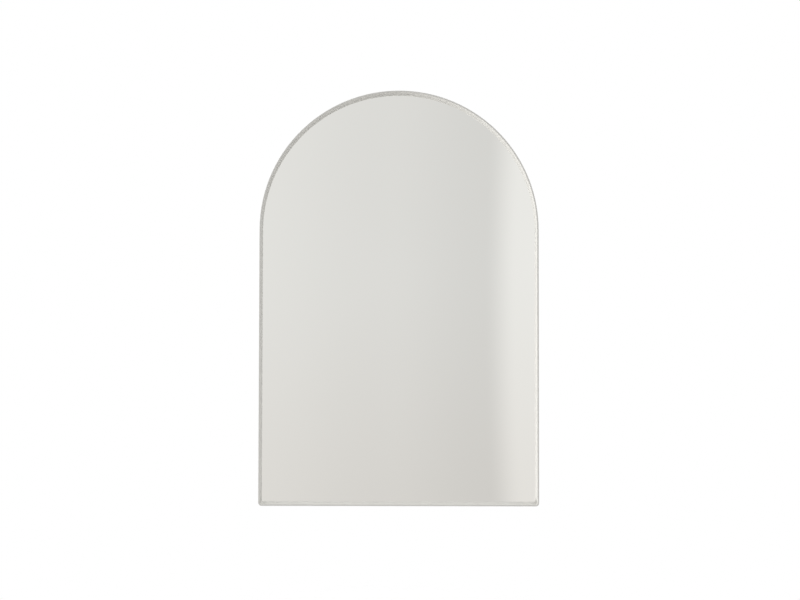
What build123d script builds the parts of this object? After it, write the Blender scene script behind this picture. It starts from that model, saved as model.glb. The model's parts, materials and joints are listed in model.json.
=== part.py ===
from build123d import *
from math import cos, radians, sin
import os

# Arched mirror cabinet that hangs on a wall: a shallow case with shelves, closed by one
# mirror door in a thin arched frame. Millimetres. +Z is up, the door faces -Y, the wall
# is at the +Y side, and the origin is the bottom centre of the whole cabinet's box.

# Driving dimensions of the outline that is seen from the front
WIDTH = 600.0
HEIGHT = 892.0
DEPTH = 150.0
SPRING_Z = HEIGHT - WIDTH / 2  # where the straight sides end and the half circle starts
FRONT_Y = -DEPTH / 2
WALL_Y = DEPTH / 2

# Door frame: a metal strip on edge with a flange inside it, bent along the outline
FRAME_WALL = 3.5
FRAME_STRIP = 20.0
FRAME_CORNER = 7.0
FRAME_EDGE_ROUND = 0.6
REVEAL = 11.0  # from the frame's front edge back to the mirror's face
FLANGE = 2.0
FLANGE_WIDTH = 12.0

# Mirror, tape and backing board, stacked behind the reveal
GLASS = 4.0
GLASS_CLEARANCE = 0.4
TAPE = 1.0
BOARD = 9.0
FINGER_RECESS = 7.0  # how far the board and the case stand back behind the frame's edge

MIRROR_FACE_Y = FRONT_Y + REVEAL
MIRROR_BACK_Y = MIRROR_FACE_Y + GLASS
BOARD_FRONT_Y = MIRROR_BACK_Y + TAPE
BOARD_BACK_Y = BOARD_FRONT_Y + BOARD

# Hinges: three butt hinges on the left, with the two leaves folded in the door's gap
LEAF = 1.2
LEAF_GAP = 0.4
PIN_RADIUS = 1.5
PIN_RUNNING_CLEARANCE = 0.05
KNUCKLE_RADIUS = PIN_RADIUS + PIN_RUNNING_CLEARANCE + LEAF
KNUCKLE_ROOM = 0.3
KNUCKLES = 5
HINGE_LENGTH = 60.0
KNUCKLE_GAP = 0.2  # along the pin, between one knuckle and the next
HINGE_SCREW_PITCH = 20.0
LEAF_CORNER = 2.0
PIN_HEAD_RADIUS = 2.2
PIN_HEAD = 0.8
PIN_HEAD_CHAMFER = 0.4
PIN_SIDE_GAP = 0.75  # between the knuckles and the edges of the board and the case

CASE_FRONT_Y = BOARD_BACK_Y + 2 * LEAF + LEAF_GAP
PIN_Y = BOARD_BACK_Y + LEAF + LEAF_GAP / 2
HINGE_Z = {"lower": 90.0, "middle": 310.0, "upper": 530.0}

# Case
CASE_INSET = FINGER_RECESS
PANEL = 12.0
CASE_HALF = WIDTH / 2 - CASE_INSET
INNER_INSET = CASE_INSET + PANEL
INNER_HALF = WIDTH / 2 - INNER_INSET
CASE_EDGE_ROUND = 1.0
PIN_X = -(CASE_HALF + KNUCKLE_RADIUS + PIN_SIDE_GAP)
LEAF_START_X = PIN_X + KNUCKLE_RADIUS + KNUCKLE_ROOM
LEAF_END_X = -INNER_HALF - CASE_EDGE_ROUND
LEAF_SCREW_X = (LEAF_START_X + LEAF_END_X) / 2

BACK_PANEL = 9.0
BACK_RECESS = 14.0  # room behind the back panel for the rails and the batten
BACK_REAR_Y = WALL_Y - BACK_RECESS
BACK_FRONT_Y = BACK_REAR_Y - BACK_PANEL
GROOVE = 4.0
GROOVE_CLEARANCE = 0.1

# Shelves
FIXED_SHELF_Z = 560.0
FIXED_SHELF_SETBACK = 4.0
FIXED_SHELF_FRONT_Y = CASE_FRONT_Y + FIXED_SHELF_SETBACK
SHELF_GLASS = 6.0
SHELF_GLASS_SETBACK = 11.0
SHELF_GLASS_END_GAP = 1.5
SHELF_GLASS_BACK_GAP = 2.0
SHELF_GLASS_HALF = INNER_HALF - SHELF_GLASS_END_GAP
SHELF_GLASS_FRONT_Y = CASE_FRONT_Y + SHELF_GLASS_SETBACK
SHELF_GLASS_BACK_Y = BACK_FRONT_Y - SHELF_GLASS_BACK_GAP
SHELF_GLASS_CORNER = 4.0
SHELF_GLASS_ARRIS = 0.5
GLASS_SHELF_Z = {"lower": 195.0, "upper": 378.0}
SUPPORT_FROM_EDGE = 18.0
SUPPORT_Y = (SHELF_GLASS_FRONT_Y + SUPPORT_FROM_EDGE, SHELF_GLASS_BACK_Y - SUPPORT_FROM_EDGE)
SUPPORT_WIDTH = 14.0
SUPPORT_REACH = 12.0
SUPPORT_HEIGHT = 14.0
SUPPORT_SHEET = 2.0
SUPPORT_CORNER = 3.0
SUPPORT_PAD = 1.0
PAD_MARGIN = 1.5
PEG_RADIUS = 2.5
PEG_LENGTH = 8.0
PEG_HOLE_LENGTH = 9.0
PEG_DROP = 9.0  # from the glass's underside down to the peg's axis
PEG_PITCH = 32.0
PEG_STEPS = (-2, -1, 0, 1, 2)

# Dowels
DOWEL_RADIUS = 3.0
DOWEL_LENGTH = 28.0
DOWEL_CHAMFER = 0.8
DOWEL_IN_SIDE = 8.0
DOWEL_FROM_EDGE = 22.0
DOWEL_Y = (CASE_FRONT_Y + DOWEL_FROM_EDGE, BACK_FRONT_Y - DOWEL_FROM_EDGE)

# Magnetic catches on the right side panel, and the strike plates on the door
CATCH_Z = {"lower": 150.0, "upper": 470.0}
CATCH_WIDTH = 12.0
CATCH_DEPTH = 22.0
CATCH_LENGTH = 48.0
CATCH_CORNER = 3.0
CATCH_EDGE_ROUND = 1.0
CATCH_SETBACK = 2.0
CATCH_FRONT_Y = CASE_FRONT_Y + CATCH_SETBACK
CATCH_SCREW_PITCH = 37.0
POLE = 1.2
POLE_DEPTH = 14.0
MAGNET_THICKNESS = 5.6
MAGNET_DEPTH = 11.0
MAGNET_LENGTH = 22.0
STRIKE = 1.2
STRIKE_WIDTH = 14.0
STRIKE_LENGTH = 38.0
STRIKE_CORNER = 3.0
STRIKE_SCREW_PITCH = 27.0
STRIKE_AIR = 0.2  # between the plate and the poles with the door shut
CATCH_X = INNER_HALF - CATCH_WIDTH / 2
POLE_FRONT_Y = BOARD_BACK_Y + STRIKE + STRIKE_AIR

# Rails that hook together on the wall, and the batten low down on the back
RAIL_Z = 700.0
RAIL_HALF = 200.0
RAIL_SHEET = 2.0
RAIL_PLATE = 20.0
RAIL_LIP = 18.0
RAIL_STAND_OFF = 9.0
RAIL_HOOK_PLAY = 1.0  # left under the case rail's lip, while its web rests on the other rail
RAIL_HOLE_OFFSET = (RAIL_LIP + RAIL_SHEET + RAIL_PLATE) / 2
WALL_HOLE_RADIUS = 2.75
RAIL_HOLE_X = (60.0, 160.0)
BATTEN_Z = 25.0
BATTEN_HEIGHT = 40.0
BATTEN_HALF = 240.0
BATTEN_HOLE_X = 200.0
BATTEN_CHAMFER = 1.0

# Door bumpers on the case's front edge
BUMPER_RADIUS = 4.0
BUMPER_HEIGHT = 2.6
BUMPER_SIDE_Z = (45.0, 570.0)
BUMPER_BOTTOM_X = 180.0

# Foam tape: upright strips between the mirror and its board
TAPE_X = (-220.0, -110.0, 0.0, 110.0, 220.0)
TAPE_WIDTH = 20.0
TAPE_Z = (60.0, 720.0)

# Screws: head radius, shank radius, length under the head's face
HINGE_DOOR_SCREW = (2.8, 1.5, 8.0)
HINGE_CASE_SCREW = (2.8, 1.5, 20.0)
FRAME_SCREW = (2.9, 1.5, 6.5)
CATCH_SCREW = (2.8, 1.5, 21.0)
STRIKE_SCREW = (2.6, 1.4, 8.0)
BATTEN_SCREW = (3.5, 1.75, 20.0)
RAIL_SCREW = (3.6, 2.0, 11.0)
RAIL_SCREW_HEAD = 2.2
SCREW_TIP = 1.5
CROSS_WIDTH = 0.7
CROSS_DEPTH = 0.9

# Turns that point a screw built along Z: the name says which way its head faces
HEAD_TO_FRONT = (90, 0, 0)
HEAD_TO_WALL = (-90, 0, 0)
HEAD_TO_LEFT = (0, -90, 0)


def upright(y):
    """The plane across the depth at y, with +X to the right and +Z up. Extruding goes forward."""
    return Plane(origin=(0, y, 0), x_dir=(1, 0, 0), z_dir=(0, -1, 0))


def arch_outline(inset, corner_radius=0.0):
    """The door's outline taken in by inset: a half circle over straight sides."""
    half = WIDTH / 2 - inset
    with BuildSketch() as outline:
        with BuildLine():
            Polyline((-half, SPRING_Z), (-half, inset), (half, inset), (half, SPRING_Z))
            ThreePointArc((half, SPRING_Z), (0, SPRING_Z + half), (-half, SPRING_Z))
        make_face()
        if corner_radius:
            fillet(outline.vertices().group_by(Axis.Y)[0], corner_radius)
    return outline.sketch


def arch_slab(y_front, y_back, inset, corner_radius=0.0):
    """A flat slab of that outline, from y_front back to y_back."""
    with BuildPart() as slab:
        with BuildSketch(upright(y_back)):
            add(arch_outline(inset, corner_radius))
        extrude(amount=y_back - y_front)
    return slab.part


def block(x_range, y_range, z_range):
    """A plain block between three pairs of limits."""
    lows = [min(pair) for pair in (x_range, y_range, z_range)]
    sizes = [abs(pair[1] - pair[0]) for pair in (x_range, y_range, z_range)]
    with BuildPart(Plane(origin=tuple(lows))) as made:
        Box(*sizes, align=(Align.MIN, Align.MIN, Align.MIN))
    return made.part


def countersunk_screw(size, with_cross=True):
    """A countersunk wood screw along Z: its head's face is at zero and its tip points down."""
    head_radius, shank_radius, length = size
    cone = head_radius - shank_radius
    with BuildPart() as screw:
        with BuildSketch(Plane.XZ):
            with BuildLine():
                Polyline(
                    (0, 0),
                    (head_radius, 0),
                    (shank_radius, -cone),
                    (shank_radius, SCREW_TIP - length),
                    (0, -length),
                    close=True,
                )
            make_face()
        revolve(axis=Axis.Z)
        if with_cross:
            with BuildSketch():
                Rectangle(head_radius * 1.1, CROSS_WIDTH)
                Rectangle(CROSS_WIDTH, head_radius * 1.1)
            extrude(amount=-CROSS_DEPTH, mode=Mode.SUBTRACT)
    return screw.part


def pan_screw(size, head, with_cross=True):
    """A pan-head screw along Z: the underside of its head is at zero and its tip points down."""
    head_radius, shank_radius, length = size
    with BuildPart() as screw:
        Cylinder(head_radius, head, align=(Align.CENTER, Align.CENTER, Align.MIN))
        fillet(screw.edges().group_by(Axis.Z)[-1], head * 0.7)
        with BuildSketch(Plane.XZ):
            with BuildLine():
                Polyline(
                    (0, 0.1),
                    (shank_radius, 0.1),
                    (shank_radius, SCREW_TIP - length),
                    (0, -length),
                    close=True,
                )
            make_face()
        revolve(axis=Axis.Z)
        if with_cross:
            with BuildSketch(Plane.XY.offset(head)):
                Rectangle(head_radius, CROSS_WIDTH)
                Rectangle(CROSS_WIDTH, head_radius)
            extrude(amount=-CROSS_DEPTH, mode=Mode.SUBTRACT)
    return screw.part


def copies(piece, places, turn):
    """Copies of one piece at several places, as separate solids of one node."""
    with BuildPart() as group:
        with Locations(*[Location(place, turn) for place in places]):
            add(piece)
    return group.part


def write(piece, name):
    """Labels a finished piece and writes it as one node."""
    piece.label = name
    export_step(piece, f"parts/{name}.step")


os.makedirs("parts", exist_ok=True)

# Places of every fastener, from the sizes above

HINGE_SCREW_STEPS = (-HINGE_SCREW_PITCH, 0.0, HINGE_SCREW_PITCH)
DOOR_LEAF_FACE_Y = BOARD_BACK_Y + LEAF
CASE_LEAF_FACE_Y = CASE_FRONT_Y - LEAF
hinge_door_places = {
    name: [(LEAF_SCREW_X, DOOR_LEAF_FACE_Y, z + step) for step in HINGE_SCREW_STEPS]
    for name, z in HINGE_Z.items()
}
hinge_case_places = {
    name: [(LEAF_SCREW_X, CASE_LEAF_FACE_Y, z + step) for step in HINGE_SCREW_STEPS]
    for name, z in HINGE_Z.items()
}

FRAME_SCREW_INSET = FRAME_WALL + FLANGE_WIDTH / 2
FRAME_SCREW_HEIGHTS = (40.0, 150.0, 230.0, 390.0, 470.0, 580.0)
FRAME_SCREW_BOTTOM_X = (-240.0, -120.0, 0.0, 120.0, 240.0)
FRAME_SCREW_ANGLES = (22.0, 45.0, 68.0, 90.0, 112.0, 135.0, 158.0)
frame_screw_half = WIDTH / 2 - FRAME_SCREW_INSET
frame_screw_places = (
    [(side * frame_screw_half, BOARD_FRONT_Y, z) for side in (-1, 1) for z in FRAME_SCREW_HEIGHTS]
    + [(x, BOARD_FRONT_Y, FRAME_SCREW_INSET) for x in FRAME_SCREW_BOTTOM_X]
    + [
        (
            frame_screw_half * cos(radians(angle)),
            BOARD_FRONT_Y,
            SPRING_Z + frame_screw_half * sin(radians(angle)),
        )
        for angle in FRAME_SCREW_ANGLES
    ]
)

catch_places = {
    name: [
        (CATCH_X - CATCH_WIDTH / 2, CATCH_FRONT_Y + CATCH_DEPTH / 2, z + side * CATCH_SCREW_PITCH / 2)
        for side in (-1, 1)
    ]
    for name, z in CATCH_Z.items()
}
strike_places = {
    name: [
        (CATCH_X, BOARD_BACK_Y + STRIKE, z + side * STRIKE_SCREW_PITCH / 2) for side in (-1, 1)
    ]
    for name, z in CATCH_Z.items()
}

RAIL_SCREW_X = (-170.0, -60.0, 60.0, 170.0)
rail_screw_places = [
    (x, BACK_REAR_Y + RAIL_SHEET, RAIL_Z + RAIL_HOLE_OFFSET) for x in RAIL_SCREW_X
]
BATTEN_SCREW_X = (-130.0, -45.0, 45.0, 130.0)
batten_screw_places = [(x, WALL_Y, BATTEN_Z + BATTEN_HEIGHT / 2) for x in BATTEN_SCREW_X]

SIDE_MID_X = CASE_HALF - PANEL / 2
BOTTOM_MID_Z = CASE_INSET + PANEL / 2
FIXED_MID_Z = FIXED_SHELF_Z + PANEL / 2
bumper_places = [(SIDE_MID_X, CASE_FRONT_Y, z) for z in BUMPER_SIDE_Z] + [
    (0.0, CASE_FRONT_Y, SPRING_Z + SIDE_MID_X),
    (BUMPER_BOTTOM_X, CASE_FRONT_Y, BOTTOM_MID_Z),
]


def side_dowels(side, z):
    """Centres of the level dowels that join a board to one side panel at height z."""
    x = side * (INNER_HALF + DOWEL_IN_SIDE - DOWEL_LENGTH / 2)
    return [(x, y, z) for y in DOWEL_Y]


level_dowel_places = [
    place for side in (-1, 1) for z in (BOTTOM_MID_Z, FIXED_MID_Z) for place in side_dowels(side, z)
]
upright_dowel_places = [(side * SIDE_MID_X, y, SPRING_Z) for side in (-1, 1) for y in DOWEL_Y]

with BuildPart() as dowel:
    Cylinder(DOWEL_RADIUS, DOWEL_LENGTH)
    chamfer(dowel.edges().filter_by(GeomType.CIRCLE), DOWEL_CHAMFER)

with BuildPart() as case_dowels:
    with Locations(*[Location(place, (0, 90, 0)) for place in level_dowel_places]):
        add(dowel.part)
    with Locations(*[Location(place) for place in upright_dowel_places]):
        add(dowel.part)
write(case_dowels.part, "case_dowels")

# Back panel, held in grooves, with two holes for the low wall screws

RAIL_SCREW_CUT = copies(
    pan_screw(RAIL_SCREW, RAIL_SCREW_HEAD, False), rail_screw_places, HEAD_TO_WALL
)
BATTEN_SCREW_CUT = copies(
    countersunk_screw(BATTEN_SCREW, False), batten_screw_places, HEAD_TO_WALL
)


def wall_holes(xs, z, y_front, y_back):
    """Round holes along Y for wall screws."""
    with BuildPart() as holes:
        with BuildSketch(upright(y_back)):
            with Locations(*[(x, z) for x in xs]):
                Circle(WALL_HOLE_RADIUS)
        extrude(amount=y_back - y_front)
    return holes.part


BATTEN_MID_Z = BATTEN_Z + BATTEN_HEIGHT / 2
low_wall_holes = wall_holes(
    (-BATTEN_HOLE_X, BATTEN_HOLE_X), BATTEN_MID_Z, BACK_FRONT_Y, WALL_Y
)
back_groove = arch_slab(BACK_FRONT_Y, BACK_REAR_Y, INNER_INSET - GROOVE)

with BuildPart() as back_panel:
    add(arch_slab(BACK_FRONT_Y, BACK_REAR_Y, INNER_INSET - GROOVE + GROOVE_CLEARANCE))
    add(RAIL_SCREW_CUT, mode=Mode.SUBTRACT)
    add(BATTEN_SCREW_CUT, mode=Mode.SUBTRACT)
    add(low_wall_holes, mode=Mode.SUBTRACT)
write(back_panel.part, "back_panel")

# Side panels, arch panel, bottom panel and fixed shelf


def peg_holes(side):
    """Two columns of peg holes in one side panel, in a group about each glass shelf."""
    with BuildPart() as holes:
        with Locations(
            *[
                Location((side * INNER_HALF, y, z - PEG_DROP + step * PEG_PITCH), (0, side * 90, 0))
                for z in GLASS_SHELF_Z.values()
                for step in PEG_STEPS
                for y in SUPPORT_Y
            ]
        ):
            Cylinder(PEG_RADIUS, PEG_HOLE_LENGTH, align=(Align.CENTER, Align.CENTER, Align.MIN))
    return holes.part


def side_panel(side, fastener_cuts):
    """One side panel: -1 is the left one and 1 the right one."""
    with BuildPart() as panel:
        add(
            block(
                (side * INNER_HALF, side * CASE_HALF),
                (CASE_FRONT_Y, WALL_Y),
                (CASE_INSET, SPRING_Z),
            )
        )
        outer_front = panel.edges().filter_by(Axis.Z).sort_by(Axis.Y)[:2]
        fillet(outer_front.sort_by(Axis.X)[0 if side < 0 else -1], CASE_EDGE_ROUND)
        add(back_groove, mode=Mode.SUBTRACT)
        add(case_dowels.part, mode=Mode.SUBTRACT)
        add(peg_holes(side), mode=Mode.SUBTRACT)
        for cut in fastener_cuts:
            add(cut, mode=Mode.SUBTRACT)
    return panel.part


hinge_case_cuts = [
    copies(countersunk_screw(HINGE_CASE_SCREW, False), places, HEAD_TO_FRONT)
    for places in hinge_case_places.values()
]
catch_cuts = [
    copies(countersunk_screw(CATCH_SCREW, False), places, HEAD_TO_LEFT)
    for places in catch_places.values()
]
write(side_panel(-1, hinge_case_cuts), "side_panel_left")
write(side_panel(1, catch_cuts), "side_panel_right")

with BuildPart() as arch_panel:
    with BuildSketch(upright(WALL_Y)):
        with Locations((0, SPRING_Z)):
            Circle(CASE_HALF)
            Circle(INNER_HALF, mode=Mode.SUBTRACT)
            Rectangle(WIDTH, WIDTH, align=(Align.CENTER, Align.MAX), mode=Mode.SUBTRACT)
    extrude(amount=WALL_Y - CASE_FRONT_Y)
    front_arcs = arch_panel.edges().filter_by(GeomType.CIRCLE).group_by(Axis.Y)[0]
    fillet(front_arcs.sort_by(SortBy.RADIUS)[-1], CASE_EDGE_ROUND)
    add(back_groove, mode=Mode.SUBTRACT)
    add(case_dowels.part, mode=Mode.SUBTRACT)
write(arch_panel.part, "arch_panel")

with BuildPart() as bottom_panel:
    add(
        block(
            (-INNER_HALF, INNER_HALF),
            (CASE_FRONT_Y, WALL_Y),
            (CASE_INSET, CASE_INSET + PANEL),
        )
    )
    front_edges = bottom_panel.edges().filter_by(Axis.X).sort_by(Axis.Y)[:2]
    fillet(front_edges.sort_by(Axis.Z)[0], CASE_EDGE_ROUND)
    add(back_groove, mode=Mode.SUBTRACT)
    add(case_dowels.part, mode=Mode.SUBTRACT)
write(bottom_panel.part, "bottom_panel")

with BuildPart() as fixed_shelf:
    add(
        block(
            (-INNER_HALF, INNER_HALF),
            (FIXED_SHELF_FRONT_Y, BACK_FRONT_Y),
            (FIXED_SHELF_Z, FIXED_SHELF_Z + PANEL),
        )
    )
    front_edges = fixed_shelf.edges().filter_by(Axis.X).sort_by(Axis.Y)[:2]
    fillet(front_edges, CASE_EDGE_ROUND)
    add(case_dowels.part, mode=Mode.SUBTRACT)
write(fixed_shelf.part, "fixed_shelf")

# Glass shelves, each on four metal supports with a clear pad

with BuildPart() as shelf_support:
    Box(
        SUPPORT_SHEET,
        SUPPORT_WIDTH,
        SUPPORT_HEIGHT,
        align=(Align.MAX, Align.CENTER, Align.MAX),
    )
    Box(
        SUPPORT_REACH,
        SUPPORT_WIDTH,
        SUPPORT_SHEET,
        align=(Align.MAX, Align.CENTER, Align.MAX),
    )
    fillet(shelf_support.edges().filter_by(Axis.X).group_by(Axis.Z)[0], SUPPORT_CORNER)
    fillet(shelf_support.edges().filter_by(Axis.Z).group_by(Axis.X)[0], SUPPORT_CORNER)
    with Locations(Location((0, 0, SUPPORT_PAD - PEG_DROP), (0, 90, 0))):
        Cylinder(PEG_RADIUS, PEG_LENGTH, align=(Align.CENTER, Align.CENTER, Align.MIN))

with BuildPart() as support_pad:
    with Locations((-PAD_MARGIN, 0, 0)):
        Box(
            SUPPORT_REACH - 2 * PAD_MARGIN,
            SUPPORT_WIDTH - 2 * PAD_MARGIN,
            SUPPORT_PAD,
            align=(Align.MAX, Align.CENTER, Align.MIN),
        )


def four_about_shelf(piece, z):
    """Copies of a right-hand piece under a glass shelf at height z, turned round on the left."""
    with BuildPart() as group:
        with Locations(*[Location((INNER_HALF, y, z - SUPPORT_PAD)) for y in SUPPORT_Y]):
            add(piece)
        with Locations(
            *[Location((-INNER_HALF, y, z - SUPPORT_PAD), (0, 0, 180)) for y in SUPPORT_Y]
        ):
            add(piece)
    return group.part


for name, z in GLASS_SHELF_Z.items():
    with BuildPart() as glass_shelf:
        add(
            block(
                (-SHELF_GLASS_HALF, SHELF_GLASS_HALF),
                (SHELF_GLASS_FRONT_Y, SHELF_GLASS_BACK_Y),
                (z, z + SHELF_GLASS),
            )
        )
        fillet(glass_shelf.edges().filter_by(Axis.Z), SHELF_GLASS_CORNER)
        top_and_bottom = glass_shelf.edges().group_by(Axis.Z)
        chamfer(top_and_bottom[0] + top_and_bottom[-1], SHELF_GLASS_ARRIS)
    write(glass_shelf.part, f"{name}_glass_shelf")
    write(four_about_shelf(shelf_support.part, z), f"{name}_shelf_supports")
    write(four_about_shelf(support_pad.part, z), f"{name}_shelf_pads")

# Hanging rails: the case's rail hooks down behind the lip of the wall's rail


def rail_section(outward, up, lip_play):
    """A Z-shaped section with its plate at zero. outward and up are 1 or -1."""
    with BuildSketch() as section:
        with BuildLine():
            near = 0.0
            far = outward * RAIL_STAND_OFF
            sheet = outward * RAIL_SHEET
            web_low = up * RAIL_LIP / 2
            web_high = up * (RAIL_LIP / 2 + RAIL_SHEET)
            plate_end = up * (RAIL_LIP / 2 + RAIL_PLATE)
            lip_end = -up * (RAIL_LIP / 2 - lip_play)
            Polyline(
                (near, web_low),
                (near, plate_end),
                (near + sheet, plate_end),
                (near + sheet, web_high),
                (far, web_high),
                (far, lip_end),
                (far - sheet, lip_end),
                (far - sheet, web_low),
                close=True,
            )
        make_face()
    return section.sketch


with BuildPart() as case_rail:
    with BuildSketch(Plane.YZ):
        with Locations((BACK_REAR_Y, RAIL_Z)):
            add(rail_section(1, 1, RAIL_HOOK_PLAY))
    extrude(amount=RAIL_HALF, both=True)
    add(RAIL_SCREW_CUT, mode=Mode.SUBTRACT)
write(case_rail.part, "case_rail")
write(
    copies(pan_screw(RAIL_SCREW, RAIL_SCREW_HEAD), rail_screw_places, HEAD_TO_WALL),
    "case_rail_screws",
)

WALL_RAIL_HOLE_Z = RAIL_Z - RAIL_HOLE_OFFSET
with BuildPart() as wall_rail:
    with BuildSketch(Plane.YZ):
        with Locations((WALL_Y, RAIL_Z)):
            add(rail_section(-1, -1, 0.0))
    extrude(amount=RAIL_HALF, both=True)
    rail_holes = wall_holes(
        [side * x for side in (-1, 1) for x in RAIL_HOLE_X],
        WALL_RAIL_HOLE_Z,
        WALL_Y - RAIL_SHEET,
        WALL_Y,
    )
    add(rail_holes, mode=Mode.SUBTRACT)
write(wall_rail.part, "wall_rail")

with BuildPart() as wall_batten:
    add(
        block(
            (-BATTEN_HALF, BATTEN_HALF),
            (BACK_REAR_Y, WALL_Y),
            (BATTEN_Z, BATTEN_Z + BATTEN_HEIGHT),
        )
    )
    chamfer(wall_batten.edges().filter_by(Axis.X).group_by(Axis.Y)[-1], BATTEN_CHAMFER)
    add(BATTEN_SCREW_CUT, mode=Mode.SUBTRACT)
    add(low_wall_holes, mode=Mode.SUBTRACT)
write(wall_batten.part, "wall_batten")
write(
    copies(countersunk_screw(BATTEN_SCREW), batten_screw_places, HEAD_TO_WALL),
    "wall_batten_screws",
)

# Magnetic catches and their strike plates

for name, z in CATCH_Z.items():
    x_left, x_right = CATCH_X - CATCH_WIDTH / 2, CATCH_X + CATCH_WIDTH / 2
    pocket_half = MAGNET_THICKNESS / 2 + POLE
    magnet_z = (z - MAGNET_LENGTH / 2, z + MAGNET_LENGTH / 2)
    magnet_back_y = POLE_FRONT_Y + POLE_DEPTH
    with BuildPart() as housing:
        add(
            block(
                (x_left, x_right),
                (CATCH_FRONT_Y, CATCH_FRONT_Y + CATCH_DEPTH),
                (z - CATCH_LENGTH / 2, z + CATCH_LENGTH / 2),
            )
        )
        fillet(housing.edges().filter_by(Axis.X), CATCH_CORNER)
        fillet(housing.edges().group_by(Axis.X)[0], CATCH_EDGE_ROUND)
        add(
            block(
                (CATCH_X - pocket_half, CATCH_X + pocket_half),
                (CATCH_FRONT_Y, magnet_back_y),
                magnet_z,
            ),
            mode=Mode.SUBTRACT,
        )
        add(
            copies(countersunk_screw(CATCH_SCREW, False), catch_places[name], HEAD_TO_LEFT),
            mode=Mode.SUBTRACT,
        )
    write(housing.part, f"{name}_catch_housing")

    with BuildPart() as magnet:
        add(
            block(
                (CATCH_X - MAGNET_THICKNESS / 2, CATCH_X + MAGNET_THICKNESS / 2),
                (magnet_back_y - MAGNET_DEPTH, magnet_back_y),
                magnet_z,
            )
        )
    write(magnet.part, f"{name}_catch_magnet")

    with BuildPart() as poles:
        for side in (-1, 1):
            add(
                block(
                    (CATCH_X + side * MAGNET_THICKNESS / 2, CATCH_X + side * pocket_half),
                    (POLE_FRONT_Y, magnet_back_y),
                    magnet_z,
                )
            )
    write(poles.part, f"{name}_catch_poles")
    write(
        copies(countersunk_screw(CATCH_SCREW), catch_places[name], HEAD_TO_LEFT),
        f"{name}_catch_screws",
    )

    with BuildPart() as strike:
        with BuildSketch(upright(BOARD_BACK_Y + STRIKE)):
            with Locations((CATCH_X, z)):
                RectangleRounded(STRIKE_WIDTH, STRIKE_LENGTH, STRIKE_CORNER)
        extrude(amount=STRIKE)
        add(
            copies(countersunk_screw(STRIKE_SCREW, False), strike_places[name], HEAD_TO_WALL),
            mode=Mode.SUBTRACT,
        )
    write(strike.part, f"{name}_strike_plate")
    write(
        copies(countersunk_screw(STRIKE_SCREW), strike_places[name], HEAD_TO_WALL),
        f"{name}_strike_screws",
    )

# Bumpers: small clear domes that the door closes on

with BuildPart() as bumper:
    Cylinder(BUMPER_RADIUS, BUMPER_HEIGHT, align=(Align.CENTER, Align.CENTER, Align.MIN))
    fillet(bumper.edges().group_by(Axis.Z)[-1], BUMPER_HEIGHT * 0.7)
write(copies(bumper.part, bumper_places, HEAD_TO_FRONT), "door_bumpers")

# Hinges


def hinge_leaf(z, y_range, knuckles, hole_radius):
    """A leaf with its plate between y_range and the knuckles whose numbers are given."""
    low = z - HINGE_LENGTH / 2
    pitch = HINGE_LENGTH / KNUCKLES
    with BuildPart() as leaf:
        add(block((LEAF_START_X, LEAF_END_X), y_range, (low, low + HINGE_LENGTH)))
        for number in knuckles:
            start = low + number * pitch + KNUCKLE_GAP / 2
            length = pitch - KNUCKLE_GAP
            with BuildSketch(Plane.XY.offset(start)):
                with Locations((PIN_X, PIN_Y)):
                    Circle(KNUCKLE_RADIUS)
                    Circle(hole_radius, mode=Mode.SUBTRACT)
            extrude(amount=length)
            tab_x = (PIN_X + (hole_radius + KNUCKLE_RADIUS) / 2, LEAF_START_X)
            add(block(tab_x, y_range, (start, start + length)))
        corners = leaf.edges().filter_by(Axis.Y).group_by(Axis.X)[-1]
        fillet(corners, LEAF_CORNER)
    return leaf.part


for name, z in HINGE_Z.items():
    with BuildPart() as case_leaf:
        add(hinge_leaf(z, (CASE_LEAF_FACE_Y, CASE_FRONT_Y), (0, 2, 4), PIN_RADIUS))
        add(
            copies(
                countersunk_screw(HINGE_CASE_SCREW, False), hinge_case_places[name], HEAD_TO_FRONT
            ),
            mode=Mode.SUBTRACT,
        )
    write(case_leaf.part, f"{name}_hinge_case_leaf")

    with BuildPart() as door_leaf:
        bore = PIN_RADIUS + PIN_RUNNING_CLEARANCE
        add(hinge_leaf(z, (BOARD_BACK_Y, DOOR_LEAF_FACE_Y), (1, 3), bore))
        add(
            copies(
                countersunk_screw(HINGE_DOOR_SCREW, False), hinge_door_places[name], HEAD_TO_WALL
            ),
            mode=Mode.SUBTRACT,
        )
    write(door_leaf.part, f"{name}_hinge_door_leaf")

    with BuildPart() as pin:
        with BuildSketch(Plane.XY.offset(z - HINGE_LENGTH / 2)):
            with Locations((PIN_X, PIN_Y)):
                Circle(PIN_RADIUS)
        extrude(amount=HINGE_LENGTH)
        for end, direction in ((z - HINGE_LENGTH / 2, -1), (z + HINGE_LENGTH / 2, 1)):
            with BuildSketch(Plane.XY.offset(end)):
                with Locations((PIN_X, PIN_Y)):
                    Circle(PIN_HEAD_RADIUS)
            extrude(amount=direction * PIN_HEAD)
        ends = pin.edges().group_by(Axis.Z)
        chamfer(ends[0] + ends[-1], PIN_HEAD_CHAMFER)
    write(pin.part, f"{name}_hinge_pin")
    write(
        copies(countersunk_screw(HINGE_CASE_SCREW), hinge_case_places[name], HEAD_TO_FRONT),
        f"{name}_hinge_case_screws",
    )
    write(
        copies(countersunk_screw(HINGE_DOOR_SCREW), hinge_door_places[name], HEAD_TO_WALL),
        f"{name}_hinge_door_screws",
    )

# Door: frame, mirror, tape and backing board

FRAME_INNER_CORNER = FRAME_CORNER - FRAME_WALL
FRAME_REAR_Y = FRONT_Y + FRAME_STRIP
frame_screw_cut = copies(countersunk_screw(FRAME_SCREW, False), frame_screw_places, HEAD_TO_FRONT)

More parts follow.
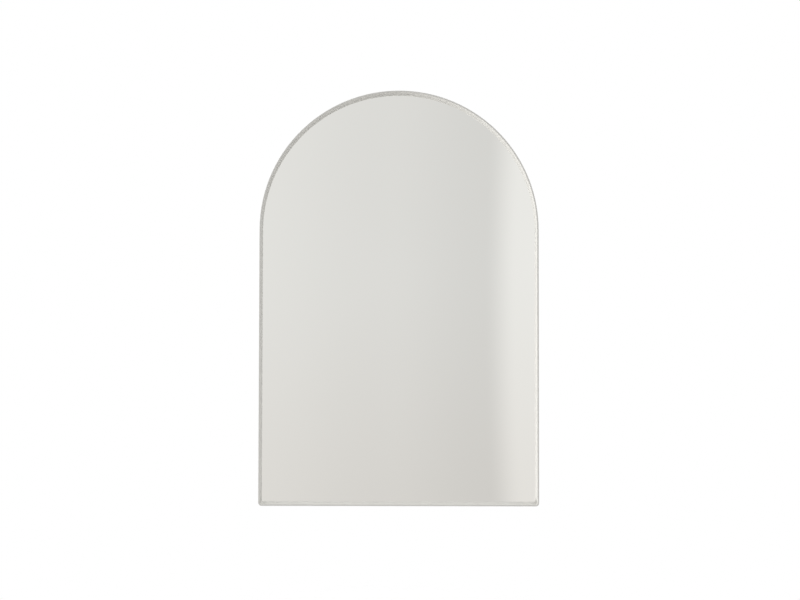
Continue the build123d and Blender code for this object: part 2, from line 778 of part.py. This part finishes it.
with BuildPart() as door_frame:
    with BuildSketch(upright(FRAME_REAR_Y)):
        add(arch_outline(0, FRAME_CORNER))
        add(arch_outline(FRAME_WALL, FRAME_INNER_CORNER), mode=Mode.SUBTRACT)
    extrude(amount=FRAME_STRIP)
    fillet(door_frame.edges().group_by(Axis.Y)[0], FRAME_EDGE_ROUND)
    with BuildSketch(upright(BOARD_FRONT_Y + FLANGE)):
        add(arch_outline(FRAME_WALL - 0.5, FRAME_INNER_CORNER))
        add(arch_outline(FRAME_WALL + FLANGE_WIDTH), mode=Mode.SUBTRACT)
    extrude(amount=FLANGE)
    add(frame_screw_cut, mode=Mode.SUBTRACT)
write(door_frame.part, "door_frame")
write(
    copies(countersunk_screw(FRAME_SCREW), frame_screw_places, HEAD_TO_FRONT),
    "door_frame_screws",
)

MIRROR_INSET = FRAME_WALL + GLASS_CLEARANCE
with BuildPart() as mirror_glass:
    add(
        arch_slab(
            MIRROR_FACE_Y, MIRROR_BACK_Y, MIRROR_INSET, FRAME_INNER_CORNER - GLASS_CLEARANCE
        )
    )
write(mirror_glass.part, "mirror_glass")

with BuildPart() as mirror_tape:
    for x in TAPE_X:
        add(
            block(
                (x - TAPE_WIDTH / 2, x + TAPE_WIDTH / 2), (MIRROR_BACK_Y, BOARD_FRONT_Y), TAPE_Z
            )
        )
write(mirror_tape.part, "mirror_tape")

REBATE_CLEARANCE = 0.5
with BuildPart() as door_board:
    add(arch_slab(BOARD_FRONT_Y + FLANGE, BOARD_BACK_Y, FINGER_RECESS))
    add(
        arch_slab(
            BOARD_FRONT_Y, BOARD_FRONT_Y + FLANGE, FRAME_WALL + FLANGE_WIDTH + REBATE_CLEARANCE
        )
    )
    add(frame_screw_cut, mode=Mode.SUBTRACT)
    for places in hinge_door_places.values():
        add(
            copies(countersunk_screw(HINGE_DOOR_SCREW, False), places, HEAD_TO_WALL),
            mode=Mode.SUBTRACT,
        )
    for places in strike_places.values():
        add(
            copies(countersunk_screw(STRIKE_SCREW, False), places, HEAD_TO_WALL),
            mode=Mode.SUBTRACT,
        )
write(door_board.part, "door_board")
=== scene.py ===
import json
import math

import bmesh
import bpy
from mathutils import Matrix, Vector


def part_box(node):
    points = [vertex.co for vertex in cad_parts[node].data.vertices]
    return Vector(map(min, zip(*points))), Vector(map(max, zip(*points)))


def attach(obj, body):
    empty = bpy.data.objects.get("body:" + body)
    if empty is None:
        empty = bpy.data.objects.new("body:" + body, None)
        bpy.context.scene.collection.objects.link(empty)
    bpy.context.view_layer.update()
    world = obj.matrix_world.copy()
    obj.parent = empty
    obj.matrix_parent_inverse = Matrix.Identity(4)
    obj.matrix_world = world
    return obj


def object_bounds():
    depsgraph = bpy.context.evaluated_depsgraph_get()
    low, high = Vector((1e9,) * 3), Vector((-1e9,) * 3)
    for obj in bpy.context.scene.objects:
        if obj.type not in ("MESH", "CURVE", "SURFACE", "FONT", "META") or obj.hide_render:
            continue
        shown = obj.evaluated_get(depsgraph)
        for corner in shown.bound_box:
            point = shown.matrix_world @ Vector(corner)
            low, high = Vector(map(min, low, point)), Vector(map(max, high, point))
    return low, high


# The finish of an arched mirror cabinet, around its solids, in metres. The door faces -Y, +Z is
# up, and the origin is the bottom centre of the cabinet. Every texture is worked out from a
# piece's own coordinates, so it turns with the door.

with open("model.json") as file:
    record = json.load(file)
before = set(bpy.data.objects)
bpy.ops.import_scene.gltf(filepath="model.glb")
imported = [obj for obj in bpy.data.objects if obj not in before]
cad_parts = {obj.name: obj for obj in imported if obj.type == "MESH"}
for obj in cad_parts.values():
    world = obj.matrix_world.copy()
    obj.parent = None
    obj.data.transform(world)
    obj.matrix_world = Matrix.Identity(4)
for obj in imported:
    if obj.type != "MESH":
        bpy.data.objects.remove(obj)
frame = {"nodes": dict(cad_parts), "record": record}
nodes = frame["nodes"]
cad_low, cad_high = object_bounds()
slot_of = {row["node"]: row["material_slot"] for row in frame["record"]["subparts"]}

MM = 0.001

# Camera: all but square to the mirror, with the object where the photograph has it
IMAGE_WIDTH = 800
IMAGE_HEIGHT = 600
OBJECT_WIDTH_PX = 279.8
OBJECT_CENTRE_PX = (398.95, 297.3)
EYE_PX = (383.0, 314.0)  # the place on the mirror that is straight before the camera
CAMERA_DISTANCE = 1.3
CAMERA_PITCH = math.radians(0.85)  # it looks up a little, so the sides lean in towards the top
CAMERA_ROLL = math.radians(-0.12)
SENSOR_MM = 36.0

# Light: a soft key from the left, a little in front of the object and a little below it, over a
# fill that is stronger above and behind, and weaker in front
KEY_FROM = (-0.98, -0.1, -0.09)  # far enough forward to reach over the frame's left edge
KEY_STRENGTH = 1.72
KEY_SPREAD = math.radians(5.0)
KEY_COLOR = (1.0, 0.99, 0.975)
FILL_COLOR = (1.0, 0.994, 0.982)
WORLD_FILL = 0.58
# Each uneven place in the fill has a direction, its strength over the fill, and the angles from
# its middle, in degrees, at which it is full and at which it has faded out
UNEVEN_FILL = {
    "above": ((0.0, 0.0, 1.0), 1.65, 10.0, 50.0),
    "behind": ((0.2, 1.0, 0.2), 0.6, 10.0, 50.0),
    "in front": ((0.0, -1.0, 0.0), -0.2, 20.0, 70.0),
}

# The pale room that gloss shows, worked out from the direction alone: its tone goes by how far
# to the right that points, and its tint and its strength by how far up
ROOM_ACROSS = (-0.232, 0.289)
ROOM_TONES = ((0.0, 0.82), (0.45, 0.765), (0.76, 0.715), (0.86, 0.88), (1.0, 0.89))
ROOM_UP = (-0.4, 0.117)
ROOM_LOW_TINT = (0.93, 0.905, 0.86)
ROOM_HIGH_TINT = (1.0, 0.993, 0.958)
ROOM_OVERHEAD = (0.35, 0.8)
ROOM_OVERHEAD_STRENGTH = 1.3

# Sealant bead round the mirror, in the corner that it makes with the frame
FRAME_WALL = 3.5 * MM
GLASS_GAP = 0.4 * MM
INNER_CORNER = 3.5 * MM
SEAL_LEG = 1.0 * MM
SEAL_HOLLOW = math.radians(40)  # how far its face turns between the frame and the glass
SEAL_DEPTH = 1.2 * MM
SEAL_BITE = 0.4 * MM  # how far it reaches into the flats that the frame's arch is made of
SEAL_FACES = 5
ARCH_STEPS = 120
CORNER_STEPS = 6
SHARP_ANGLE = math.radians(40)

# Floor, well below a cabinet that hangs at eye height
FLOOR_Z = -0.9
FLOOR_RADIUS = 1.6
FLOOR_FADE_START = 1.0
FLOOR_SIDES = 96
FLOOR_COLOR = (0.9, 0.9, 0.89)

WHITE = (1.0, 1.0, 1.0)
EVEN = (1.0, 1.0, 1.0)  # the stretch of a texture that is the same along every axis
ALONG_X = (0.02, 1.0, 1.0)
ALONG_Z = (1.0, 1.0, 0.02)
VENEER_ALONG_X = (0.06, 1.0, 1.0)
PLY_PITCH = 2.8 * MM


class NodeTree:
    """A node tree, with short calls for the nodes that the finishes and the world share."""

    def __init__(self, tree):
        self.tree = tree

    def node(self, kind, **values):
        made = self.tree.nodes.new(kind)
        for name, value in values.items():
            setattr(made, name, value)
        return made

    def put(self, target, value):
        """Links a socket to an input, or writes a number, a vector or a colour in it."""
        if isinstance(value, bpy.types.NodeSocket):
            self.tree.links.new(value, target)
        elif target.type == "RGBA":
            target.default_value = (*value, 1.0)
        else:
            target.default_value = value

    def component(self, vector, axis):
        split = self.node("ShaderNodeSeparateXYZ")
        self.put(split.inputs["Vector"], vector)
        return split.outputs[axis]

    def calculate(self, operation, *values):
        made = self.node("ShaderNodeMath", operation=operation)
        for target, value in zip(made.inputs, values):
            self.put(target, value)
        return made.outputs["Value"]

    def spread(self, value, low, high, from_low=0.3, from_high=0.7, curve="LINEAR"):
        """Takes a value between two limits to a number between two others."""
        made = self.node("ShaderNodeMapRange", interpolation_type=curve)
        made.inputs["From Min"].default_value = from_low
        made.inputs["From Max"].default_value = from_high
        made.inputs["To Min"].default_value = low
        made.inputs["To Max"].default_value = high
        self.put(made.inputs["Value"], value)
        return made.outputs["Result"]

    def mix(self, factor, first, second, blend="MIX"):
        """Mixes two colours, of which each is a socket or written out."""
        made = self.node("ShaderNodeMix", data_type="RGBA", blend_type=blend)
        self.put(made.inputs["Factor"], factor)
        colors = [socket for socket in made.inputs if socket.type == "RGBA"]
        for target, value in zip(colors, (first, second)):
            self.put(target, value)
        return next(socket for socket in made.outputs if socket.type == "RGBA")

    def mix_shaders(self, factor, first, second):
        made = self.node("ShaderNodeMixShader")
        for target, value in zip(made.inputs, (factor, first, second)):
            self.put(target, value)
        return made.outputs["Shader"]

    def background(self, color, strength):
        made = self.node("ShaderNodeBackground")
        self.put(made.inputs["Color"], color)
        self.put(made.inputs["Strength"], strength)
        return made.outputs["Background"]

    def greys(self, value, stops):
        """Greys that ease from stop to stop, where each stop is a place and a tone."""
        made = self.node("ShaderNodeValToRGB")
        made.color_ramp.interpolation = "EASE"
        elements = made.color_ramp.elements
        elements[0].position = stops[0][0]
        elements[1].position = stops[-1][0]
        for position, _ in stops[1:-1]:
            elements.new(position)
        for element, (_, tone) in zip(elements, stops):
            element.color = (tone, tone, tone, 1.0)
        self.put(made.inputs["Fac"], value)
        return made.outputs["Color"]


class Finish(NodeTree):
    """A material of one shader, with what several finishes have alike.

    A texture's scale is in repeats per metre, and its stretch makes it longer along an axis by a
    smaller factor.
    """

    def __init__(self, name, color, roughness, metallic=0.0, **fixed):
        self.material = bpy.data.materials.new(name)
        self.material.use_nodes = True
        super().__init__(self.material.node_tree)
        self.surface = self.tree.nodes["Principled BSDF"]
        self.set("Base Color", color)
        self.set("Roughness", roughness)
        self.set("Metallic", metallic)
        for socket, value in fixed.items():
            self.set(socket.replace("_", " "), value)
        self.place = self.node("ShaderNodeTexCoord").outputs

    def set(self, socket, value):
        self.put(self.surface.inputs[socket], value)

    def normal(self, axis):
        """How far a face's own normal points along an axis, from -1 to 1."""
        return self.component(self.place["Normal"], axis)

    def noise(self, scale, detail=3.0, roughness=0.5, stretch=EVEN):
        """Noise over the piece's own coordinates."""
        mapping = self.node("ShaderNodeMapping")
        mapping.inputs["Scale"].default_value = stretch
        self.put(mapping.inputs["Vector"], self.place["Object"])
        made = self.node("ShaderNodeTexNoise")
        made.inputs["Scale"].default_value = scale
        made.inputs["Detail"].default_value = detail
        made.inputs["Roughness"].default_value = roughness
        self.put(made.inputs["Vector"], mapping.outputs["Vector"])
        return made.outputs["Fac"]

    def mottle(self, scale, first, second, stretch=EVEN):
        """Base colour that drifts between two close colours."""
        amount = self.spread(self.noise(scale, stretch=stretch), 0.0, 1.0)
        self.set("Base Color", self.mix(amount, first, second))

    def vary_roughness(self, scale, low, high, stretch=EVEN):
        self.set("Roughness", self.spread(self.noise(scale, stretch=stretch), low, high))

    def bump(self, height, distance):
        made = self.node("ShaderNodeBump")
        made.inputs["Strength"].default_value = 1.0
        made.inputs["Distance"].default_value = distance
        self.put(made.inputs["Height"], height)
        self.set("Normal", made.outputs["Normal"])


def powder_coat():
    """Satin warm white with a very fine orange peel, and a sheen that drifts a little."""
    made = Finish("frame_coat", (0.80, 0.792, 0.764), 0.42)
    made.mottle(60.0, (0.80, 0.793, 0.765), (0.788, 0.779, 0.749))
    made.vary_roughness(120.0, 0.38, 0.46)
    made.bump(made.noise(420.0, 1.0, 0.4), 0.005 * MM)
    return made.material


def mirror_silver():
    """Silvered front, polished greenish edges and grey paint on the back of one sheet."""
    made = Finish("mirror_silver", (0.93, 0.935, 0.93), 0.0, 1.0)
    front = made.spread(made.normal("Y"), 0.0, 1.0, -0.4, -0.6)
    back = made.spread(made.normal("Y"), 0.0, 1.0, 0.4, 0.6)
    drift = made.spread(made.noise(3.0, 2.0), 0.0, 1.0)
    silver = made.mix(drift, (0.935, 0.935, 0.93), (0.925, 0.926, 0.92))
    edge_and_back = made.mix(back, (0.34, 0.47, 0.42), (0.40, 0.41, 0.42))
    made.set("Base Color", made.mix(front, edge_and_back, silver))
    made.set("Metallic", front)
    made.set("Roughness", made.spread(front, 0.32, 0.0, 0.0, 1.0))
    return made.material


def lacquer(name, light, dark):
    """Satin lacquer sprayed on board: a fine even peel, and a sheen that drifts a little."""
    made = Finish(name, light, 0.34)
    made.mottle(18.0, light, dark)
    made.vary_roughness(45.0, 0.3, 0.4)
    made.bump(made.noise(380.0, 1.0, 0.4), 0.008 * MM)
    return made.material


def back_laminate():
    """Melamine paper with the fine pearl texture of pressed board."""
    made = Finish("back_laminate", (0.77, 0.762, 0.74), 0.5)
    made.mottle(30.0, (0.77, 0.762, 0.74), (0.755, 0.747, 0.725))
    made.vary_roughness(300.0, 0.42, 0.56)
    made.bump(made.noise(500.0, 2.0, 0.6), 0.015 * MM)
    return made.material


def shelf_glass():
    """Clear toughened glass, with a ground edge that shows the green of its depth."""
    clear = (0.95, 0.985, 0.97)
    made = Finish("shelf_glass", clear, 0.0, IOR=1.52, Transmission_Weight=1.0)
    flat = made.calculate("ABSOLUTE", made.normal("Z"))
    edge = made.spread(flat, 1.0, 0.0, 0.3, 0.8)
    made.set("Base Color", made.mix(edge, clear, (0.62, 0.86, 0.77)))
    frost = made.spread(made.noise(240.0, 2.0), 0.2, 0.28)
    made.set("Roughness", made.calculate("MULTIPLY", edge, frost))
    return made.material


def drawn_metal(name, color, dark, roughness, stretch, scratch):
    """Metal with fine lines along one axis, where the stretch is small."""
    made = Finish(name, color, roughness, 1.0)
    made.mottle(700.0, color, dark, stretch)
    made.vary_roughness(500.0, roughness * 0.8, roughness * 1.25, stretch)
    made.bump(made.noise(1800.0, 2.0, 0.5, stretch), scratch)
    return made.material


def zinc():
    """Bright zinc plate with its faint grain."""
    made = Finish("screw_zinc", (0.70, 0.71, 0.72), 0.3, 1.0)
    made.mottle(900.0, (0.72, 0.73, 0.74), (0.60, 0.61, 0.62))
    made.vary_roughness(1500.0, 0.22, 0.4)
    made.bump(made.noise(3000.0, 2.0), 0.01 * MM)
    return made.material


def chrome():
    """Polished chrome plate, a little uneven in its depth of polish."""
    made = Finish("support_steel", (0.80, 0.81, 0.82), 0.08, 1.0)
    made.mottle(250.0, (0.82, 0.825, 0.83), (0.76, 0.77, 0.78))
    made.vary_roughness(400.0, 0.05, 0.12)
    return made.material


def beech():
    """Grain along Z, with darker pores and the same lines in its bump."""
    light = (0.66, 0.46, 0.28)
    dark = (0.54, 0.35, 0.2)
    made = Finish("dowel_beech", light, 0.55)
    rings = made.noise(26.0, 5.0, 0.6, ALONG_Z)
    fibre = made.noise(240.0, 4.0, 0.7, ALONG_Z)
    tone = made.mix(made.spread(rings, 0.0, 1.0, 0.38, 0.62), light, dark)
    pores = tuple(part * 0.62 for part in dark)
    made.set("Base Color", made.mix(made.spread(fibre, 0.0, 0.5, 0.45, 0.7), tone, pores))
    made.vary_roughness(300.0, 0.48, 0.64, ALONG_Z)
    made.bump(fibre, 0.08 * MM)
    return made.material


def plywood():
    """Birch face veneer with its grain along X, and the plies' edges above and below."""
    made = Finish("batten_plywood", (0.74, 0.60, 0.42), 0.55)
    grain = made.spread(made.noise(70.0, 6.0, 0.6, VENEER_ALONG_X), 0.0, 1.0, 0.35, 0.65)
    face = made.mix(grain, (0.76, 0.62, 0.44), (0.66, 0.50, 0.33))
    depth = made.component(made.place["Object"], "Y")
    turns = made.calculate("MULTIPLY", depth, 2 * math.pi / PLY_PITCH)
    plies = made.spread(made.calculate("SINE", turns), 0.0, 1.0, -0.5, 0.5)
    edge = made.mix(plies, (0.70, 0.55, 0.37), (0.45, 0.31, 0.19))
    flat = made.calculate("ABSOLUTE", made.normal("Y"))
    is_face = made.spread(flat, 0.0, 1.0, 0.4, 0.8)
    made.set("Base Color", made.mix(is_face, edge, face))
    made.vary_roughness(260.0, 0.5, 0.66, VENEER_ALONG_X)
    made.bump(made.noise(300.0, 4.0, 0.6, VENEER_ALONG_X), 0.06 * MM)
    return made.material


def moulded_plastic():
    """White moulded plastic with a fine spark texture."""
    made = Finish("catch_plastic", (0.82, 0.82, 0.81), 0.45)
    made.mottle(80.0, (0.83, 0.83, 0.82), (0.80, 0.80, 0.785))
    made.vary_roughness(600.0, 0.38, 0.52)
    made.bump(made.noise(2400.0, 3.0, 0.6), 0.03 * MM)
    return made.material


def ferrite():
    """Dark sintered magnet, grainy and slightly shiny."""
    made = Finish("magnet_ferrite", (0.06, 0.06, 0.065), 0.5)
    made.mottle(1500.0, (0.075, 0.075, 0.08), (0.045, 0.045, 0.05))
    made.vary_roughness(900.0, 0.38, 0.6)
    made.bump(made.noise(1800.0, 4.0, 0.7), 0.03 * MM)
    return made.material


def foam():
    """White closed-cell foam tape."""
    made = Finish("foam_tape", (0.78, 0.78, 0.76), 0.85)
    made.mottle(500.0, (0.80, 0.80, 0.78), (0.70, 0.70, 0.68))
    cells = made.node("ShaderNodeTexVoronoi")
    cells.inputs["Scale"].default_value = 2200.0
    made.put(cells.inputs["Vector"], made.place["Object"])
    made.bump(cells.outputs["Distance"], 0.1 * MM)
    return made.material


def silicone():
    """Milky silicone, soft in its shine, that lets a little light through."""
    made = Finish("bumper_silicone", (0.84, 0.85, 0.84), 0.28, IOR=1.41, Transmission_Weight=0.2)
    made.mottle(300.0, (0.85, 0.86, 0.85), (0.80, 0.81, 0.80))
    made.vary_roughness(700.0, 0.2, 0.36)
    return made.material


def sealant():
    """White sanitary sealant, smoothed off with a wet finger."""
    made = Finish("mirror_sealant", (0.78, 0.775, 0.755), 0.33)
    made.mottle(60.0, (0.79, 0.785, 0.765), (0.775, 0.77, 0.748))
    made.vary_roughness(80.0, 0.3, 0.38)
    made.bump(made.noise(90.0, 1.0, 0.4), 0.01 * MM)
    return made.material


def dress_nodes():
    """Gives every solid the finish of its slot in the record."""
    finishes = {
        "frame_coat": powder_coat(),
        "mirror_silver": mirror_silver(),
        "foam_tape": foam(),
        "door_lacquer": lacquer("door_lacquer", (0.76, 0.752, 0.728), (0.745, 0.737, 0.712)),
        "case_lacquer": lacquer("case_lacquer", (0.745, 0.737, 0.714), (0.73, 0.722, 0.698)),
        "back_laminate": back_laminate(),
        "dowel_beech": beech(),
        "rail_aluminium": drawn_metal(
            "rail_aluminium", (0.74, 0.745, 0.75), (0.64, 0.645, 0.65), 0.36, ALONG_X, 0.02 * MM
        ),
        "screw_zinc": zinc(),
        "batten_plywood": plywood(),
        "bumper_silicone": silicone(),
        "shelf_glass": shelf_glass(),
        "support_steel": chrome(),
        "catch_plastic": moulded_plastic(),
        "magnet_ferrite": ferrite(),
        "hinge_steel": drawn_metal(
            "hinge_steel", (0.69, 0.68, 0.665), (0.57, 0.56, 0.545), 0.27, ALONG_Z, 0.015 * MM
        ),
        "pin_steel": drawn_metal(
            "pin_steel", (0.62, 0.62, 0.62), (0.52, 0.52, 0.52), 0.2, ALONG_Z, 0.01 * MM
        ),
    }
    for name, piece in nodes.items():
        piece.data.materials.clear()
        piece.data.materials.append(finishes[slot_of[name]])


def arch_ring(half, bottom, spring, corner):
    """Points (x, z) round a half circle over straight sides, with two rounded lower corners."""
    points = []
    for step in range(ARCH_STEPS + 1):
        turn = math.pi * step / ARCH_STEPS
        points.append((half * math.cos(turn), spring + half * math.sin(turn)))
    for side, start in ((-1, math.pi), (1, 1.5 * math.pi)):
        for step in range(CORNER_STEPS + 1):
            turn = start + math.pi / 2 * step / CORNER_STEPS
            x = side * (half - corner) + corner * math.cos(turn)
            points.append((x, bottom + corner + corner * math.sin(turn)))
    return points


def seal_section():
    """The bead's closed section: (distance in from the frame's wall, distance before the glass)."""
    radius = SEAL_LEG / math.sqrt(2) / math.sin(SEAL_HOLLOW / 2)
    centre = SEAL_LEG / 2 + radius * math.cos(SEAL_HOLLOW / 2) / math.sqrt(2)
    section = [(-SEAL_BITE, SEAL_LEG)]
    for step in range(SEAL_FACES + 1):
        turn = math.pi / 4 + SEAL_HOLLOW * (step / SEAL_FACES - 0.5)
        section.append((centre - radius * math.cos(turn), centre - radius * math.sin(turn)))
    section += [(GLASS_GAP, 0.0), (GLASS_GAP, -SEAL_DEPTH), (-SEAL_BITE, -SEAL_DEPTH)]
    return section


def seal_mesh():
    """The section, swept round the inside of the frame as rings of faces."""
    frame_low, frame_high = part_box("door_frame")
    face_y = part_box("mirror_glass")[0].y
    outer_half = (frame_high.x - frame_low.x) / 2
    spring = frame_high.z - outer_half
    mesh = bmesh.new()
    rings = []
    for inward, before in seal_section():
        inset = FRAME_WALL + inward
        corner = INNER_CORNER - inward
        ring = arch_ring(outer_half - inset, frame_low.z + inset, spring, corner)
        rings.append([mesh.verts.new((x, face_y - before, z)) for x, z in ring])
    for first, second in zip(rings, rings[1:] + rings[:1]):
        for i, vert in enumerate(first):
            after = (i + 1) % len(first)
            mesh.faces.new((vert, first[after], second[after], second[i]))
    bmesh.ops.recalc_face_normals(mesh, faces=mesh.faces)
    data = bpy.data.meshes.new("mirror_seal")
    mesh.to_mesh(data)
    mesh.free()
    data.shade_smooth()
    data.set_sharp_from_angle(angle=SHARP_ANGLE)
    return data


def mirror_seal():
    """The bead that closes the joint between the mirror and its frame."""
    seal = bpy.data.objects.new("mirror_seal", seal_mesh())
    seal.data.materials.append(sealant())
    bpy.context.scene.collection.objects.link(seal)
    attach(seal, "door")


def floor_material():
    """Pale floor that fades out with its distance from the middle, and keeps the shadow."""
    made = bpy.data.materials.new("floor")
    made.use_nodes = True
    floor = NodeTree(made.node_tree)
    floor.tree.nodes.clear()
    flat = floor.node("ShaderNodeVectorMath", operation="MULTIPLY")
    floor.put(flat.inputs[0], floor.node("ShaderNodeNewGeometry").outputs["Position"])
    floor.put(flat.inputs[1], (1.0, 1.0, 0.0))
    reach = floor.node("ShaderNodeVectorMath", operation="LENGTH")
    floor.put(reach.inputs[0], flat.outputs["Vector"])
    fade = floor.spread(
        reach.outputs["Value"], 0.0, 1.0, FLOOR_FADE_START, FLOOR_RADIUS, "SMOOTHSTEP"
    )
    body = floor.node("ShaderNodeBsdfDiffuse")
    floor.put(body.inputs["Color"], FLOOR_COLOR)
    clear = floor.node("ShaderNodeBsdfTransparent")
    faded = floor.mix_shaders(fade, body.outputs["BSDF"], clear.outputs["BSDF"])
    floor.put(floor.node("ShaderNodeOutputMaterial").inputs["Surface"], faded)
    return made


def make_floor():
    bpy.ops.mesh.primitive_circle_add(
        vertices=FLOOR_SIDES, radius=FLOOR_RADIUS, fill_type="NGON", location=(0.0, 0.0, FLOOR_Z)
    )
    floor = bpy.context.object
    floor.name = "floor"
    floor.data.materials.append(floor_material())


def make_key():
    data = bpy.data.lights.new("key", "SUN")
    data.energy = KEY_STRENGTH
    data.angle = KEY_SPREAD
    data.color = KEY_COLOR
    lamp = bpy.data.objects.new("key", data)
    lamp.rotation_euler = (-Vector(KEY_FROM)).to_track_quat("-Z", "Y").to_euler()
    lamp.visible_glossy = False
    bpy.context.scene.collection.objects.link(lamp)


def room(world, direction):
    """The pale room, with the mirror's gradient from left to right."""
    across = world.spread(world.component(direction, "X"), 0.0, 1.0, *ROOM_ACROSS)
    up = world.component(direction, "Z")
    height = world.spread(up, 0.0, 1.0, *ROOM_UP, "SMOOTHSTEP")
    tint = world.mix(height, ROOM_LOW_TINT, ROOM_HIGH_TINT)
    color = world.mix(1.0, world.greys(across, ROOM_TONES), tint, "MULTIPLY")
    lift = world.spread(up, 1.0, ROOM_OVERHEAD_STRENGTH, *ROOM_OVERHEAD, "SMOOTHSTEP")
    return world.background(color, lift)


def fill(world, direction):
    """The fill on the object, with its stronger and weaker places."""
    level = WORLD_FILL
    for middle, strength, full_angle, faded_angle in UNEVEN_FILL.values():
        aligned = world.node("ShaderNodeVectorMath", operation="DOT_PRODUCT")
        world.put(aligned.inputs[0], direction)
        world.put(aligned.inputs[1], Vector(middle).normalized())
        faded = math.cos(math.radians(faded_angle))
        full = math.cos(math.radians(full_angle))
        extra = world.spread(aligned.outputs["Value"], 0.0, strength, faded, full, "SMOOTHSTEP")
        level = world.calculate("ADD", extra, level)
    return world.background(FILL_COLOR, level)


def make_world():
    """White to the camera and through glass, the pale room in gloss, and the fill elsewhere."""
    made = bpy.data.worlds.new("world")
    bpy.context.scene.world = made
    made.use_nodes = True
    world = NodeTree(made.node_tree)
    world.tree.nodes.clear()
    direction = world.node("ShaderNodeTexCoord").outputs["Generated"]
    rays = world.node("ShaderNodeLightPath").outputs
    light = world.mix_shaders(
        rays["Is Glossy Ray"], fill(world, direction), room(world, direction)
    )
    seen = world.calculate("MAXIMUM", rays["Is Camera Ray"], rays["Is Transmission Ray"])
    whole = world.mix_shaders(seen, light, world.background(WHITE, 1.0))
    world.put(world.node("ShaderNodeOutputWorld").inputs["Surface"], whole)


def make_camera():
    """All but square to the mirror. The shift puts the object where the photograph has it."""
    data = bpy.data.cameras.new("camera")
    camera = bpy.data.objects.new("camera", data)
    metre_per_px = (cad_high.x - cad_low.x) / OBJECT_WIDTH_PX
    middle = (cad_low + cad_high) / 2
    camera.location = (
        middle.x + (EYE_PX[0] - OBJECT_CENTRE_PX[0]) * metre_per_px,
        cad_low.y - CAMERA_DISTANCE,
        middle.z - (EYE_PX[1] - OBJECT_CENTRE_PX[1]) * metre_per_px,
    )
    camera.rotation_euler = (math.radians(90) + CAMERA_PITCH, CAMERA_ROLL, 0.0)
    focal_px = CAMERA_DISTANCE / metre_per_px
    axis_px_y = EYE_PX[1] - focal_px * math.tan(CAMERA_PITCH)
    data.sensor_width = SENSOR_MM
    data.lens = SENSOR_MM * focal_px / IMAGE_WIDTH
    data.shift_x = (IMAGE_WIDTH / 2 - EYE_PX[0]) / IMAGE_WIDTH
    data.shift_y = (axis_px_y - IMAGE_HEIGHT / 2) / IMAGE_WIDTH
    bpy.context.scene.collection.objects.link(camera)
    bpy.context.scene.camera = camera


dress_nodes()
mirror_seal()
make_floor()
make_key()
make_world()
make_camera()
bpy.context.scene.view_settings.view_transform = "Standard"
